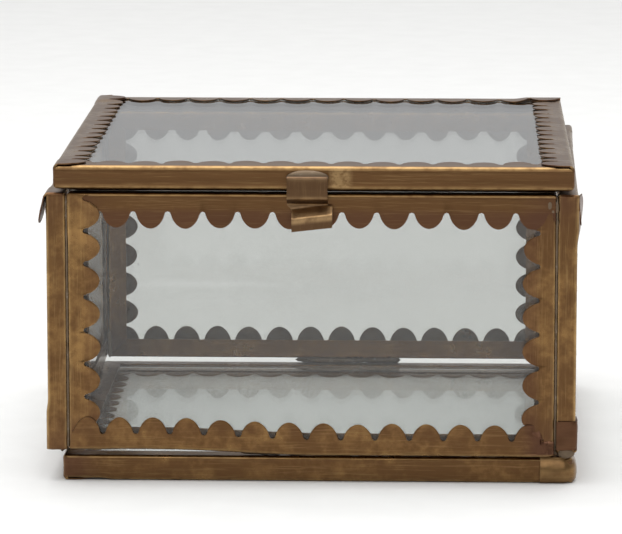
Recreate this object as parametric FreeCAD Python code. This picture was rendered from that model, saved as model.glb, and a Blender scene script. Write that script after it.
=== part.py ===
import FreeCAD, Part
import math
import os

# A square jewelry box of clear glass panes bound in folded brass strip.
# +X is to the right, the front faces -Y and +Z is up.  Sizes are in millimetres.
# The origin is under the middle of the whole box, on the surface it stands on.

# ---------------------------------------------------------------- driving sizes
box_width = 123.1            # across the two side walls
box_depth = 121.0            # front face to back face of the walls
wall_height = 60.9           # bottom edge to top edge of a wall panel

glass_thickness = 4.0        # every pane
sheet = 0.35                 # brass sheet that the binding strips are folded from
glass_bed = 0.3              # room between a pane's edge and the fold it sits in

wall_strip_play = 0.0        # room across the pane inside a wall's folded strip
lid_strip_play = 0.9         # the same inside the lid's strip
base_strip_play = 1.3        # the same inside the base's strip

scallop_pitch = 8.0          # wanted spacing; each strip is divided evenly near it
scallop_band = 3.75          # plain width of the flange below the scallops
notch_radius = 0.4           # little round notch between two scallops
inner_flange_lap = 0.1       # the plain inner flange runs this far past the next panel
fold_radius = 0.6            # outside radius of the strip's folds

wall_seam = 0.15             # room between neighbouring wall panels, at their edges
mitre_gap = 0.1              # room between two strips at a corner
base_inset = 1.8             # how far the base stands in under the walls
base_shift = 1.4             # the base is soldered on this far right of the middle
base_gap = 1.45              # open line between the walls and the base
lid_gap = 0.95               # open line between the walls and the closed lid
lid_inset = 1.35             # how far the lid stands in from the side walls
lid_shift = 0.5              # the lid hangs this far right of the middle
lid_overhang = 1.0           # lid's front face ahead of the walls' front face

pin_radius = 0.75            # hinge wire
pin_clearance = 0.05         # running fit of the wire in the knuckles
leaf_sheet = 0.5             # brass sheet of the hinge leaves
knuckle_length = 11.8
knuckle_gap = 0.2            # end play between two knuckles
knuckle_count = 5
hinge_clearance = 0.3        # room round a knuckle that turns past a fixed piece
leaf_standoff = 0.15         # room between the turning knuckles and the back wall
body_leaf_drop = 3.4         # plate of the wall's leaf, below its knuckles
lid_leaf_rise = 3.6          # plate of the lid's leaf, above its knuckles
pin_head_radius = 1.15
pin_head_length = 0.6

clasp_width = 9.4
clasp_shift = -0.4           # the clasp sits a little left of the middle
clasp_sheet = 0.6            # springy brass strip of the clasp
clasp_foot_drop = 1.0        # top of the soldered foot, below the lid's top
clasp_foot_height = 2.6
clasp_stand = 2.1            # hairpin: front leg ahead of the foot, middle to middle
clasp_grip_clearance = 0.15  # waist of the clasp to the front wall's flange
clasp_leg = 5.0              # straight front leg
clasp_tuck = 1.8             # height in which the leg curls in to its waist
clasp_land = 1.1             # upright stretch at the waist, which rubs on the wall
clasp_flare = 1.9            # height in which the finger tab slopes out again
clasp_flare_reach = 3.1      # how far out the finger tab slopes
clasp_tab = 3.1              # finger tab's upright end
clasp_bend = 0.5             # inside radius of the clasp's bends

corner_solder = 1.1          # leg of the solder fillet in an inside corner
corner_solder_height = 7.0
pad_length = 12.0            # solder pads that join the walls to the base
pad_width = 2.4

# ---------------------------------------------------------------- worked-out sizes
snug_strip_width = glass_thickness + 2 * sheet
wall_strip_width = snug_strip_width + wall_strip_play
lid_strip_width = snug_strip_width + lid_strip_play
base_strip_width = snug_strip_width + base_strip_play
inner_flange = wall_strip_width + inner_flange_lap

lid_width = box_width - 2 * lid_inset
base_top = base_strip_width
wall_bottom = base_top + base_gap
wall_top = wall_bottom + wall_height
lid_bottom = wall_top + lid_gap
lid_top = lid_bottom + lid_strip_width

knuckle_radius = pin_radius + pin_clearance + leaf_sheet
axis_behind_wall = leaf_standoff + knuckle_radius
lid_back_reach = axis_behind_wall + knuckle_radius - leaf_sheet
hinge_back_reach = axis_behind_wall + knuckle_radius

waist_reach = clasp_grip_clearance + clasp_sheet / 2
clasp_reach = waist_reach + clasp_flare_reach + clasp_sheet / 2

# the walls' front face is placed so that the whole box is centred on the origin
front_face = -(box_depth + hinge_back_reach - clasp_reach) / 2
back_face = front_face + box_depth
walls_middle = (front_face + back_face) / 2

axis_y = back_face + axis_behind_wall
axis_z = lid_bottom - knuckle_radius - hinge_clearance
lid_front = front_face - lid_overhang
lid_back = back_face + lid_back_reach
hinge_length = knuckle_count * knuckle_length + (knuckle_count - 1) * knuckle_gap

base_width = box_width - 2 * base_inset
base_depth = box_depth - 2 * base_inset
side_inner_face = box_width / 2 - wall_strip_width
front_panel_width = 2 * (side_inner_face - wall_seam)


def vec(x, y, z=0.0):
    return FreeCAD.Vector(x, y, z)


def box(low, high):
    """A block between two corners."""
    size = [b - a for a, b in zip(low, high)]
    return Part.makeBox(size[0], size[1], size[2], vec(*low))


def polygon_face(points):
    return Part.Face(Part.makePolygon(points + [points[0]]))


def arc(start, middle, end):
    return Part.Arc(start, middle, end).toShape()


def line(start, end):
    return Part.LineSegment(start, end).toShape()


# ---------------------------------------------------------------- binding strips
# A strip is made along its own edge: u runs along it with 0 in the middle, v runs
# in over the pane from the edge, and n points outwards with 0 at the outer face.
def folded_section(width, length):
    """The U of the folded strip, without its scallops, pushed along u."""
    r = fold_radius
    outer_mid = r * (1 - math.sqrt(0.5))
    inner_mid = sheet + (r - sheet) * (1 - math.sqrt(0.5))

    def at(n, v):
        return vec(-length / 2, v, n)

    edges = [
        line(at(0, scallop_band), at(0, r)),
        arc(at(0, r), at(-outer_mid, outer_mid), at(-r, 0)),
        line(at(-r, 0), at(-width + r, 0)),
        arc(at(-width + r, 0), at(-width + outer_mid, outer_mid), at(-width, r)),
        line(at(-width, r), at(-width, inner_flange)),
        line(at(-width, inner_flange), at(-width + sheet, inner_flange)),
        line(at(-width + sheet, inner_flange), at(-width + sheet, r)),
        arc(at(-width + sheet, r), at(-width + inner_mid, inner_mid), at(-width + r, sheet)),
        line(at(-width + r, sheet), at(-r, sheet)),
        arc(at(-r, sheet), at(-inner_mid, inner_mid), at(-sheet, r)),
        line(at(-sheet, r), at(-sheet, scallop_band)),
        line(at(-sheet, scallop_band), at(0, scallop_band)),
    ]
    return Part.Face(Part.Wire(edges)).extrude(vec(length, 0, 0))


def scallop_plate(length):
    """The scalloped edge of the outer flange, a whole number of scallops long."""
    count = max(1, round(length / scallop_pitch))
    pitch = length / count
    lobe = pitch / 2 - notch_radius
    centre_v = scallop_band + notch_radius
    root = scallop_band / 2
    left = -length / 2
    edges = [line(vec(left, root), vec(left, scallop_band))]
    for i in range(count):
        u0 = left + i * pitch
        foot = vec(u0 + notch_radius, centre_v)
        far_foot = vec(u0 + pitch - notch_radius, centre_v)
        near = notch_radius * math.sqrt(0.5)
        edges.append(arc(vec(u0, scallop_band),
                         vec(u0 + near, centre_v - near), foot))
        edges.append(arc(foot, vec(u0 + pitch / 2, centre_v + lobe), far_foot))
        edges.append(arc(far_foot, vec(u0 + pitch - near, centre_v - near),
                         vec(u0 + pitch, scallop_band)))
    edges.append(line(vec(-left, scallop_band), vec(-left, root)))
    edges.append(line(vec(-left, root), vec(left, root)))
    return Part.Face(Part.Wire(edges)).extrude(vec(0, 0, -sheet))


def strip(length, width):
    """One folded strip, mitred at both ends to meet its neighbours."""
    body = folded_section(width, length).fuse(scallop_plate(length)).removeSplitter()
    reach = scallop_band + notch_radius + scallop_pitch
    half = length / 2 - mitre_gap / math.sqrt(2)
    keep = polygon_face([
        vec(-half, 0, -width - 1), vec(half, 0, -width - 1),
        vec(half - reach, reach, -width - 1), vec(-half + reach, reach, -width - 1),
    ]).extrude(vec(0, 0, width + 2))
    return body.common(keep)


# ---------------------------------------------------------------- panels
def to_world(shape, centre, across, upward, outward):
    """Put a shape made in a panel's own u, v, n frame where the panel stands."""
    m = FreeCAD.Matrix(across.x, upward.x, outward.x, centre.x,
                       across.y, upward.y, outward.y, centre.y,
                       across.z, upward.z, outward.z, centre.z,
                       0, 0, 0, 1)
    placed = shape.copy()
    placed.Placement = FreeCAD.Placement(m).multiply(shape.Placement)
    return placed


def panel(name, sides, centre, across, upward, width, height, strip_width, glass_inward):
    """A pane and its four strips.  centre is the middle of the panel's outer face."""
    outward = across.cross(upward)
    edge_inset = sheet + glass_bed
    pane = box((-width / 2 + edge_inset, -height / 2 + edge_inset, -glass_inward - glass_thickness),
               (width / 2 - edge_inset, height / 2 - edge_inset, -glass_inward))
    nodes = {name + "_glass": to_world(pane, centre, across, upward, outward)}
    for quarter, side in enumerate(sides):
        along, other = (width, height) if quarter % 2 == 0 else (height, width)
        piece = strip(along, strip_width)
        piece.translate(vec(0, -other / 2))
        piece.rotate(vec(0, 0), vec(0, 0, 1), 90 * quarter)
        nodes[name + "_" + side + "_strip"] = to_world(piece, centre, across, upward, outward)
    return nodes


X = vec(1, 0, 0)
Y = vec(0, 1, 0)
Z = vec(0, 0, 1)
wall_middle_z = (wall_bottom + wall_top) / 2

nodes = {}
# going round each panel from the edge at -upward, anticlockwise as seen from outside
nodes.update(panel("front", ("bottom", "right", "top", "left"),
                   vec(0, front_face, wall_middle_z), X, Z,
                   front_panel_width, wall_height, wall_strip_width, sheet))
nodes.update(panel("back", ("bottom", "left", "top", "right"),
                   vec(0, back_face, wall_middle_z), -X, Z,
                   front_panel_width, wall_height, wall_strip_width, sheet))
nodes.update(panel("right", ("bottom", "back", "top", "front"),
                   vec(box_width / 2, walls_middle, wall_middle_z), Y, Z,
                   box_depth, wall_height, wall_strip_width, sheet))
nodes.update(panel("left", ("bottom", "front", "top", "back"),
                   vec(-box_width / 2, walls_middle, wall_middle_z), -Y, Z,
                   box_depth, wall_height, wall_strip_width, sheet))
# the base's pane lies up under its inner flange, so that it shows from inside
nodes.update(panel("base", ("back", "right", "front", "left"),
                   vec(base_shift, walls_middle, 0), X, -Y,
                   base_width, base_depth, base_strip_width,
                   base_strip_width - sheet - glass_thickness))
nodes.update(panel("lid", ("front", "right", "back", "left"),
                   vec(lid_shift, (lid_front + lid_back) / 2, lid_top), X, Y,
                   lid_width, lid_back - lid_front, lid_strip_width, sheet))


# ---------------------------------------------------------------- hinge
def knuckle(i):
    """Knuckle i of the hinge, as a ring along X."""
    start = -hinge_length / 2 + i * (knuckle_length + knuckle_gap)
    centre = vec(start, axis_y, axis_z)
    ring = Part.makeCylinder(knuckle_radius, knuckle_length, centre, X)
    return ring.cut(bore())


def bore():
    return Part.makeCylinder(pin_radius + pin_clearance, hinge_length + 2,
                             vec(-hinge_length / 2 - 1, axis_y, axis_z), X)


def knuckle_span(i):
    start = -hinge_length / 2 + i * (knuckle_length + knuckle_gap)
    return start, start + knuckle_length


def wall_leaf():
    """Leaf soldered to the back wall, with the odd knuckles rolled from its top."""
    plate_top = axis_z - knuckle_radius - hinge_clearance
    leaf = box((-hinge_length / 2, back_face, plate_top - body_leaf_drop),
               (hinge_length / 2, back_face + leaf_sheet, plate_top))
    for i in range(0, knuckle_count, 2):
        low, high = knuckle_span(i)
        tongue = box((low, back_face, plate_top - leaf_sheet),
                     (high, back_face + leaf_sheet, axis_z))
        leaf = leaf.fuse(tongue).fuse(knuckle(i))
    return leaf.cut(bore()).removeSplitter()


def lid_leaf():
    """Leaf soldered to the lid's back edge, with the even knuckles rolled from it."""
    plate_bottom = axis_z + knuckle_radius + hinge_clearance
    leaf = box((-hinge_length / 2, lid_back, plate_bottom),
               (hinge_length / 2, lid_back + leaf_sheet, plate_bottom + lid_leaf_rise))
    for i in range(1, knuckle_count, 2):
        low, high = knuckle_span(i)
        tongue = box((low, lid_back, axis_z),
                     (high, lid_back + leaf_sheet, plate_bottom + leaf_sheet))
        leaf = leaf.fuse(tongue).fuse(knuckle(i))
    return leaf.cut(bore()).removeSplitter()


def hinge_pin():
    """Wire through every knuckle, with its ends spread so that it can't creep out."""
    start = vec(-hinge_length / 2 - knuckle_gap, axis_y, axis_z)
    wire = Part.makeCylinder(pin_radius, hinge_length + 2 * knuckle_gap, start, X)
    left_head = Part.makeCylinder(pin_head_radius, pin_head_length, start, -X)
    right_head = Part.makeCylinder(
        pin_head_radius, pin_head_length,
        vec(hinge_length / 2 + knuckle_gap, axis_y, axis_z), X)
    return wire.fuse(left_head).fuse(right_head).removeSplitter()


nodes["wall_hinge_leaf"] = wall_leaf()
nodes["lid_hinge_leaf"] = lid_leaf()
nodes["hinge_pin"] = hinge_pin()


# ---------------------------------------------------------------- clasp
def rounded_path(points, radius):
    """Straight runs through the points, with every inner point rounded off."""
    edges = []
    previous = points[0]
    for before, corner, after in zip(points, points[1:], points[2:]):
        into = (before - corner).normalize()
        out = (after - corner).normalize()
        half = into.getAngle(out) / 2
        cut = radius / math.tan(half)
        middle = (into + out).normalize() * (radius / math.sin(half) - radius)
        edges.append(line(previous, corner + into * cut))
        edges.append(arc(corner + into * cut, corner + middle, corner + out * cut))
        previous = corner + out * cut
    edges.append(line(previous, points[-1]))
    return Part.Wire(edges)


def bent_strip(path, start, direction):
    """The clasp's strip, swept along its path as seen from the side."""
    across = clasp_width / 2
    thick = direction.cross(X).normalize() * (clasp_sheet / 2)
    corners = [start - X * across - thick, start + X * across - thick,
               start + X * across + thick, start - X * across + thick]
    profile = Part.makePolygon(corners + [corners[0]])
    return path.makePipeShell([profile], True, False)


clasp_x = lid_shift + clasp_shift
foot_y = lid_front - clasp_sheet / 2
foot_top = lid_top - clasp_foot_drop - clasp_stand / 2 - clasp_sheet / 2
leg_y = foot_y - clasp_stand
leg_bottom = foot_top - clasp_leg
waist_y = front_face - waist_reach
waist_z = leg_bottom - clasp_tuck
tab_y = waist_y - clasp_flare_reach
tab_top = waist_z - clasp_land - clasp_flare
tab_bottom = tab_top - clasp_tab


def clasp_spring():
    """The springy part: hairpin, front leg, waist that grips, and finger tab."""
    start = vec(clasp_x, foot_y, foot_top)
    hairpin_top = vec(clasp_x, (foot_y + leg_y) / 2, foot_top + clasp_stand / 2)
    leg_top = vec(clasp_x, leg_y, foot_top)
    hairpin = arc(start, hairpin_top, leg_top)
    below = [
        leg_top,
        vec(clasp_x, leg_y, leg_bottom),
        vec(clasp_x, waist_y, waist_z),
        vec(clasp_x, waist_y, waist_z - clasp_land),
        vec(clasp_x, tab_y, tab_top),
        vec(clasp_x, tab_y, tab_bottom),
    ]
    rest = rounded_path(below, clasp_bend + clasp_sheet / 2)
    path = Part.Wire([hairpin] + rest.Edges)
    return bent_strip(path, start, Z)


def clasp_foot():
    """The end of the same strip that is soldered flat to the lid's front face."""
    return box((clasp_x - clasp_width / 2, foot_y - clasp_sheet / 2, foot_top - clasp_foot_height),
               (clasp_x + clasp_width / 2, foot_y + clasp_sheet / 2, foot_top))


nodes["clasp_spring"] = clasp_spring()
nodes["clasp_foot"] = clasp_foot()


# ---------------------------------------------------------------- solder
def corner_fillet(side, end):
    """Solder in one upright inside corner: a run at the top and one at the bottom."""
    x = side * side_inner_face
    y = front_face + wall_strip_width if end < 0 else back_face - wall_strip_width
    runs = []
    for z in (wall_bottom, wall_top - corner_solder_height):
        face = polygon_face([
            vec(x, y, z),
            vec(x - side * corner_solder, y, z),
            vec(x, y - end * corner_solder, z),
        ])
        runs.append(face.extrude(vec(0, 0, corner_solder_height)))
    return runs


def base_pad(x, y, along_x):
    """A pad of solder in the open line between the walls and the base."""
    half_x, half_y = (pad_length / 2, pad_width / 2) if along_x else (pad_width / 2, pad_length / 2)
    return box((x - half_x, y - half_y, base_top), (x + half_x, y + half_y, wall_bottom))


fillets = []
for side in (-1, 1):
    for end in (-1, 1):
        fillets += corner_fillet(side, end)
nodes["corner_solder"] = Part.makeCompound(fillets)

pad_front_y = front_face + base_inset + pad_width / 2
pad_back_y = back_face - base_inset - pad_width / 2
pad_right_x = base_shift + base_width / 2 - base_inset - pad_width / 2
pad_left_x = base_shift - base_width / 2 + pad_width / 2
side_pad_spread = box_depth / 5
front_pad_spread = box_width / 3
pads = [
    base_pad(base_shift, pad_front_y, True),
    base_pad(base_shift + front_pad_spread, pad_front_y, True),
    base_pad(base_shift, pad_back_y, True),
]
for pad_x in (pad_left_x, pad_right_x):
    for pad_y in (walls_middle - side_pad_spread, walls_middle + side_pad_spread):
        pads.append(base_pad(pad_x, pad_y, False))
nodes["base_solder"] = Part.makeCompound(pads)

# ---------------------------------------------------------------- write the files
os.makedirs("parts", exist_ok=True)
for name, shape in sorted(nodes.items()):
    shape.exportStep("parts/" + name + ".step")
    low = shape.BoundBox
    print(f"{name:24s} solids {len(shape.Solids)}  volume {shape.Volume:9.1f}  "
          f"x {low.XMin:7.2f} {low.XMax:7.2f}  y {low.YMin:7.2f} {low.YMax:7.2f}  "
          f"z {low.ZMin:6.2f} {low.ZMax:6.2f}  valid {shape.isValid()}")
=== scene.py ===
# %% [markdown]
# # A scalloped brass and glass jewelry box
# The box is six clear panes. Each pane is bound on all four edges by a strip of thin
# brass folded round it like a picture mount. The strip's outer flange is cut into
# scallops, its inner flange is plain. The panes are soldered into a box, the lid
# hangs on a small butt hinge, and a bent strip of springy brass keeps it shut.
# The measured model is loaded first, and everything below is hung on it.

# %% Load the measured frame
import math
import random
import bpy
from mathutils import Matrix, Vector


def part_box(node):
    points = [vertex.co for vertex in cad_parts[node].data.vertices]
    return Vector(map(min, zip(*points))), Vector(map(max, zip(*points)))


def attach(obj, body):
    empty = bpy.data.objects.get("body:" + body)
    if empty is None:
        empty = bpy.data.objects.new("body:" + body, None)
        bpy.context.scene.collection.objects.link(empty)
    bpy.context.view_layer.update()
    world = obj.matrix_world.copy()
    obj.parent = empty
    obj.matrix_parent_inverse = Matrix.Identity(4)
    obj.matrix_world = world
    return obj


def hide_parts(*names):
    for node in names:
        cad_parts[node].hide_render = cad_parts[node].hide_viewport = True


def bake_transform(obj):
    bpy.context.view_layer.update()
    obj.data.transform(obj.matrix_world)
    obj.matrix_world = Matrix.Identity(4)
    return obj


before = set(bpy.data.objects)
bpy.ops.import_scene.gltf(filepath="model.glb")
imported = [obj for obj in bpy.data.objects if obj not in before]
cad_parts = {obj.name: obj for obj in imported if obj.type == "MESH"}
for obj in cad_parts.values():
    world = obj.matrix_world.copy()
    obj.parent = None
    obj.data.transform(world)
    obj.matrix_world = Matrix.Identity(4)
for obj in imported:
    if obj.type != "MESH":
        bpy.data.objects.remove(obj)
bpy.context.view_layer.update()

from types import SimpleNamespace

import bmesh
import bpy
import numpy as np
from mathutils import Vector, noise

MM = 0.001

# %% [markdown]
# ## Camera
# A long lens a good metre away keeps the upright edges parallel, as a shop picture
# of a small box does. It stands a little above the box, so that the lid's pane is
# seen at a glancing angle, and a little to the right of the middle. The numbers are
# taken from the front face of the walls and from the table top.

# %% Camera
front_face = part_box("front_bottom_strip")[0].y
CAMERA_DISTANCE = 0.9481
CAMERA_RIGHT = 0.0311
CAMERA_HEIGHT = 0.2134
CAMERA_PITCH = 9.701
CAMERA_TURN = 1.881

camera_data = bpy.data.cameras.new("camera")
camera_data.lens = 240.6
camera_data.sensor_width = 36.0
camera_data.sensor_fit = "HORIZONTAL"
camera_data.clip_start = 0.05
camera_data.clip_end = 30.0
camera = bpy.data.objects.new("camera", camera_data)
camera.location = (CAMERA_RIGHT, front_face - CAMERA_DISTANCE, CAMERA_HEIGHT)
camera.rotation_euler = (math.radians(90 - CAMERA_PITCH), 0, math.radians(CAMERA_TURN))
bpy.context.scene.collection.objects.link(camera)
bpy.context.scene.camera = camera
print("camera at", [round(value, 4) for value in camera.location])

# %% [markdown]
# ## Floor and light
# Brass and glass show what is around them more than they show themselves, so the
# room matters as much as the material. The floor is a plain pale sheet. The room is
# a soft sky that is brightest overhead and dims towards the horizon, most of all in
# front of the box: this is what makes the upright brass look brown and the lid's
# brass, seen at a glancing angle, look silvery. A large soft lamp overhead and a
# smaller one high in front draw the bright lines along the folds.

# %% Helpers for materials
def new_material(name):
    """A material with an empty node tree and its output."""
    material = bpy.data.materials.new(name)
    material.use_nodes = True
    material.node_tree.nodes.clear()
    material.node_tree.nodes.new("ShaderNodeOutputMaterial")
    return material


def add(tree, kind, label=None, **settings):
    """A node with its plain settings made in one go."""
    node = tree.nodes.new("ShaderNode" + kind)
    if label:
        node.label = label
    for key, value in settings.items():
        setattr(node, key, value)
    return node


def feed(tree, source, target):
    """Links an output to an input, or sets the input to a plain value."""
    if isinstance(source, bpy.types.NodeSocket):
        tree.links.new(source, target)
    else:
        target.default_value = source


# %% Floor
FLOOR_HALF = 6.0
FLOOR_HEIGHT = -0.05 * MM     # a hair below the box, so that the two never share a face
floor_material = new_material("pale_floor")
tree = floor_material.node_tree
floor_shader = add(tree, "BsdfPrincipled")
floor_shader.inputs["Roughness"].default_value = 0.85
floor_shader.inputs["Specular IOR Level"].default_value = 0.2
floor_grain = add(tree, "TexNoise")
floor_grain.inputs["Scale"].default_value = 900.0
floor_tone = add(tree, "ValToRGB")
floor_tone.color_ramp.elements[0].color = (0.77, 0.77, 0.767, 1)
floor_tone.color_ramp.elements[1].color = (0.83, 0.83, 0.827, 1)
feed(tree, floor_grain.outputs["Fac"], floor_tone.inputs["Fac"])
feed(tree, floor_tone.outputs["Color"], floor_shader.inputs["Base Color"])
feed(tree, floor_shader.outputs["BSDF"], tree.nodes["Material Output"].inputs["Surface"])

floor_mesh = bpy.data.meshes.new("floor")
floor_mesh.from_pydata([(x * FLOOR_HALF, y * FLOOR_HALF, FLOOR_HEIGHT)
                        for x, y in ((-1, -1), (1, -1), (1, 1), (-1, 1))], [], [(0, 1, 2, 3)])
floor_mesh.materials.append(floor_material)
floor = bpy.data.objects.new("floor", floor_mesh)
bpy.context.scene.collection.objects.link(floor)
print("floor:", 2 * FLOOR_HALF, "m square")

# %% Sky and lamps
world = bpy.data.worlds.new("soft_room")
world.use_nodes = True
bpy.context.scene.world = world
tree = world.node_tree
tree.nodes.clear()
direction = add(tree, "SeparateXYZ")
feed(tree, add(tree, "TexCoord").outputs["Generated"], direction.inputs["Vector"])
by_height = add(tree, "ValToRGB")
ramp = by_height.color_ramp
ramp.elements[0].position, ramp.elements[0].color = 0.0, (0.50, 0.51, 0.52, 1)
ramp.elements[1].position, ramp.elements[1].color = 0.30, (0.62, 0.625, 0.63, 1)
top = ramp.elements.new(0.85)
top.color = (1.30, 1.30, 1.28, 1)
feed(tree, direction.outputs["Z"], by_height.inputs["Fac"])
to_front = add(tree, "MapRange", interpolation_type="SMOOTHSTEP")
to_front.inputs["From Min"].default_value = -1.0
to_front.inputs["From Max"].default_value = 0.2
to_front.inputs["To Min"].default_value = 0.32
to_front.inputs["To Max"].default_value = 1.0
feed(tree, direction.outputs["Y"], to_front.inputs["Value"])
sky = add(tree, "Background")
feed(tree, by_height.outputs["Color"], sky.inputs["Color"])
feed(tree, to_front.outputs["Result"], sky.inputs["Strength"])
feed(tree, sky.outputs["Background"], add(tree, "OutputWorld").inputs["Surface"])


def soft_lamp(name, location, wide, tall, watts):
    """A soft panel of light, turned to face the middle of the box."""
    data = bpy.data.lights.new(name, "AREA")
    data.shape = "RECTANGLE"
    data.size, data.size_y, data.energy = wide, tall, watts
    lamp = bpy.data.objects.new(name, data)
    lamp.location = location
    lamp.rotation_euler = (Vector((0, 0, 0.04)) - Vector(location)).to_track_quat("-Z", "Y").to_euler()
    bpy.context.scene.collection.objects.link(lamp)
    return lamp


lamps = [soft_lamp("overhead_lamp", (-0.10, 0.05, 0.95), 1.1, 0.7, 6.0),
         soft_lamp("front_lamp", (0.02, -0.88, 0.56), 0.9, 0.50, 2.2)]
bpy.context.scene.view_settings.view_transform = "Standard"
print("lamps, W:", {lamp.name: lamp.data.energy for lamp in lamps})

# %% [markdown]
# ## Shader groups
# Old brass is not one colour. The mill leaves fine lines along the strip, handling
# rubs the folds bright, air browns what nobody touches, and the soldering iron
# leaves red and violet tints near the joints. Each of these is a node group here, so
# that the strips, the hinge and the clasp can all use it with their own values.
# A strip's mesh carries two things for them: a map with its length and width in
# centimetres, and a colour named marks, which says where the folds, the heated ends
# and the solder smears are, and how browned the strip is. On some strips that
# browning is painted shade, and on the clasp part of the heat mark is painted shade
# at its waist.

# %% Helper for groups
def new_group(name, inputs, outputs):
    """A shader node group with the named sockets. inputs gives name, kind, value."""
    group = bpy.data.node_groups.new(name, "ShaderNodeTree")
    for label, kind, value in inputs:
        socket = group.interface.new_socket(label, in_out="INPUT", socket_type="NodeSocket" + kind)
        if value is not None:
            socket.default_value = value
    for label, kind in outputs:
        group.interface.new_socket(label, in_out="OUTPUT", socket_type="NodeSocket" + kind)
    return group, group.nodes.new("NodeGroupInput"), group.nodes.new("NodeGroupOutput")


def maths(tree, operation, first, second=0.5, third=None, clamp=False):
    """A Math node fed by sockets or plain numbers. Returns its output."""
    node = add(tree, "Math", operation=operation, use_clamp=clamp)
    feed(tree, first, node.inputs[0])
    feed(tree, second, node.inputs[1])
    if third is not None:
        feed(tree, third, node.inputs[2])
    return node.outputs[0]


def remap(tree, value, low, high, to_low=0.0, to_high=1.0):
    """A soft step from low to high."""
    node = add(tree, "MapRange", interpolation_type="SMOOTHSTEP")
    feed(tree, value, node.inputs["Value"])
    feed(tree, low, node.inputs["From Min"])
    feed(tree, high, node.inputs["From Max"])
    feed(tree, to_low, node.inputs["To Min"])
    feed(tree, to_high, node.inputs["To Max"])
    return node.outputs["Result"]


def mix_colour(tree, factor, first, second, blend="MIX"):
    """Two colours mixed by a factor. Returns the mixed colour's output."""
    node = add(tree, "Mix", data_type="RGBA", blend_type=blend)
    feed(tree, factor, node.inputs[0])
    feed(tree, first, node.inputs[6])
    feed(tree, second, node.inputs[7])
    return node.outputs[2]


def noise_of(tree, vector, scale, detail=3.0, roughness=0.55):
    """A cloudy noise at a place. Returns its grey output."""
    node = add(tree, "TexNoise")
    feed(tree, vector, node.inputs["Vector"])
    feed(tree, scale, node.inputs["Scale"])
    node.inputs["Detail"].default_value = detail
    node.inputs["Roughness"].default_value = roughness
    return node.outputs["Fac"]


# %% Group: mill grain
def make_mill_grain():
    """Fine lines drawn out along the strip. They serve as a tone and as a height."""
    group, given, result = new_group(
        "mill_grain",
        [("Map", "Vector", None), ("Lines", "Float", 60.0), ("Stretch", "Float", 40.0)],
        [("Line", "Float")])
    drawn = add(group, "CombineXYZ")
    parts = add(group, "SeparateXYZ")
    feed(group, given.outputs["Map"], parts.inputs["Vector"])
    feed(group, maths(group, "DIVIDE", parts.outputs["X"], given.outputs["Stretch"]), drawn.inputs["X"])
    feed(group, parts.outputs["Y"], drawn.inputs["Y"])
    feed(group, parts.outputs["Z"], drawn.inputs["Z"])
    fine = noise_of(group, drawn.outputs["Vector"], given.outputs["Lines"], 2.0)
    broad = noise_of(group, drawn.outputs["Vector"],
                     maths(group, "MULTIPLY", given.outputs["Lines"], 0.22), 2.0)
    line = maths(group, "MULTIPLY_ADD", fine, 0.55, maths(group, "MULTIPLY", broad, 0.45))
    feed(group, line, result.inputs["Line"])
    return group


# %% Group: patina
def make_patina():
    """Cloudy browning: large clouds, smaller blotches and a few dark specks."""
    group, given, result = new_group(
        "patina",
        [("Place", "Vector", None), ("Cloud Size", "Float", 110.0), ("Amount", "Float", 0.5)],
        [("Brown", "Float"), ("Speck", "Float")])
    clouds = noise_of(group, given.outputs["Place"], given.outputs["Cloud Size"], 3.0, 0.6)
    blotches = noise_of(group, given.outputs["Place"],
                        maths(group, "MULTIPLY", given.outputs["Cloud Size"], 4.5), 4.0, 0.65)
    both = maths(group, "MULTIPLY_ADD", blotches, 0.45, maths(group, "MULTIPLY", clouds, 0.75))
    edge = maths(group, "SUBTRACT", 1.05, given.outputs["Amount"])
    brown = remap(group, both, maths(group, "SUBTRACT", edge, 0.26), maths(group, "ADD", edge, 0.14))
    cells = add(group, "TexVoronoi")
    feed(group, given.outputs["Place"], cells.inputs["Vector"])
    cells.inputs["Scale"].default_value = 560.0
    near = remap(group, cells.outputs["Distance"], 0.10, 0.26, 1.0, 0.0)
    chosen = remap(group, blotches, 0.56, 0.66)
    feed(group, brown, result.inputs["Brown"])
    feed(group, maths(group, "MULTIPLY", near, chosen), result.inputs["Speck"])
    return group


# %% Group: rubbed edges
def make_rubbed_edge():
    """Where hands and cloths have rubbed: the folds, broken up so the line is uneven."""
    group, given, result = new_group(
        "rubbed_edge",
        [("Place", "Vector", None), ("Fold", "Float", 0.0), ("Strength", "Float", 0.8)],
        [("Worn", "Float")])
    breaks = noise_of(group, given.outputs["Place"], 330.0, 3.0, 0.6)
    uneven = remap(group, breaks, 0.30, 0.62, 0.35, 1.0)
    worn = maths(group, "MULTIPLY", maths(group, "MULTIPLY", given.outputs["Fold"], uneven),
                 given.outputs["Strength"], clamp=True)
    feed(group, worn, result.inputs["Worn"])
    return group


# %% Group: dust and smudges
def make_dust():
    """Loose specks, and the cloudy film that fingers and polish leave."""
    group, given, result = new_group(
        "dust",
        [("Place", "Vector", None), ("Speck Scale", "Float", 260.0), ("Speck Size", "Float", 0.05)],
        [("Speck", "Float"), ("Film", "Float")])
    cells = add(group, "TexVoronoi")
    feed(group, given.outputs["Place"], cells.inputs["Vector"])
    feed(group, given.outputs["Speck Scale"], cells.inputs["Scale"])
    tone = add(group, "SeparateXYZ")
    feed(group, cells.outputs["Color"], tone.inputs["Vector"])
    size = maths(group, "MULTIPLY", given.outputs["Speck Size"], maths(group, "ADD", tone.outputs["Y"], 0.4))
    speck = maths(group, "LESS_THAN", cells.outputs["Distance"], size)
    rare = maths(group, "GREATER_THAN", tone.outputs["X"], 0.80)
    feed(group, maths(group, "MULTIPLY", speck, rare), result.inputs["Speck"])
    film = noise_of(group, given.outputs["Place"], 34.0, 4.0, 0.6)
    feed(group, remap(group, film, 0.45, 0.72), result.inputs["Film"])
    return group


GROUPS = {group.name: group for group in (make_mill_grain(), make_patina(), make_rubbed_edge(), make_dust())}
print("shader groups:", sorted(GROUPS))


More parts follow.
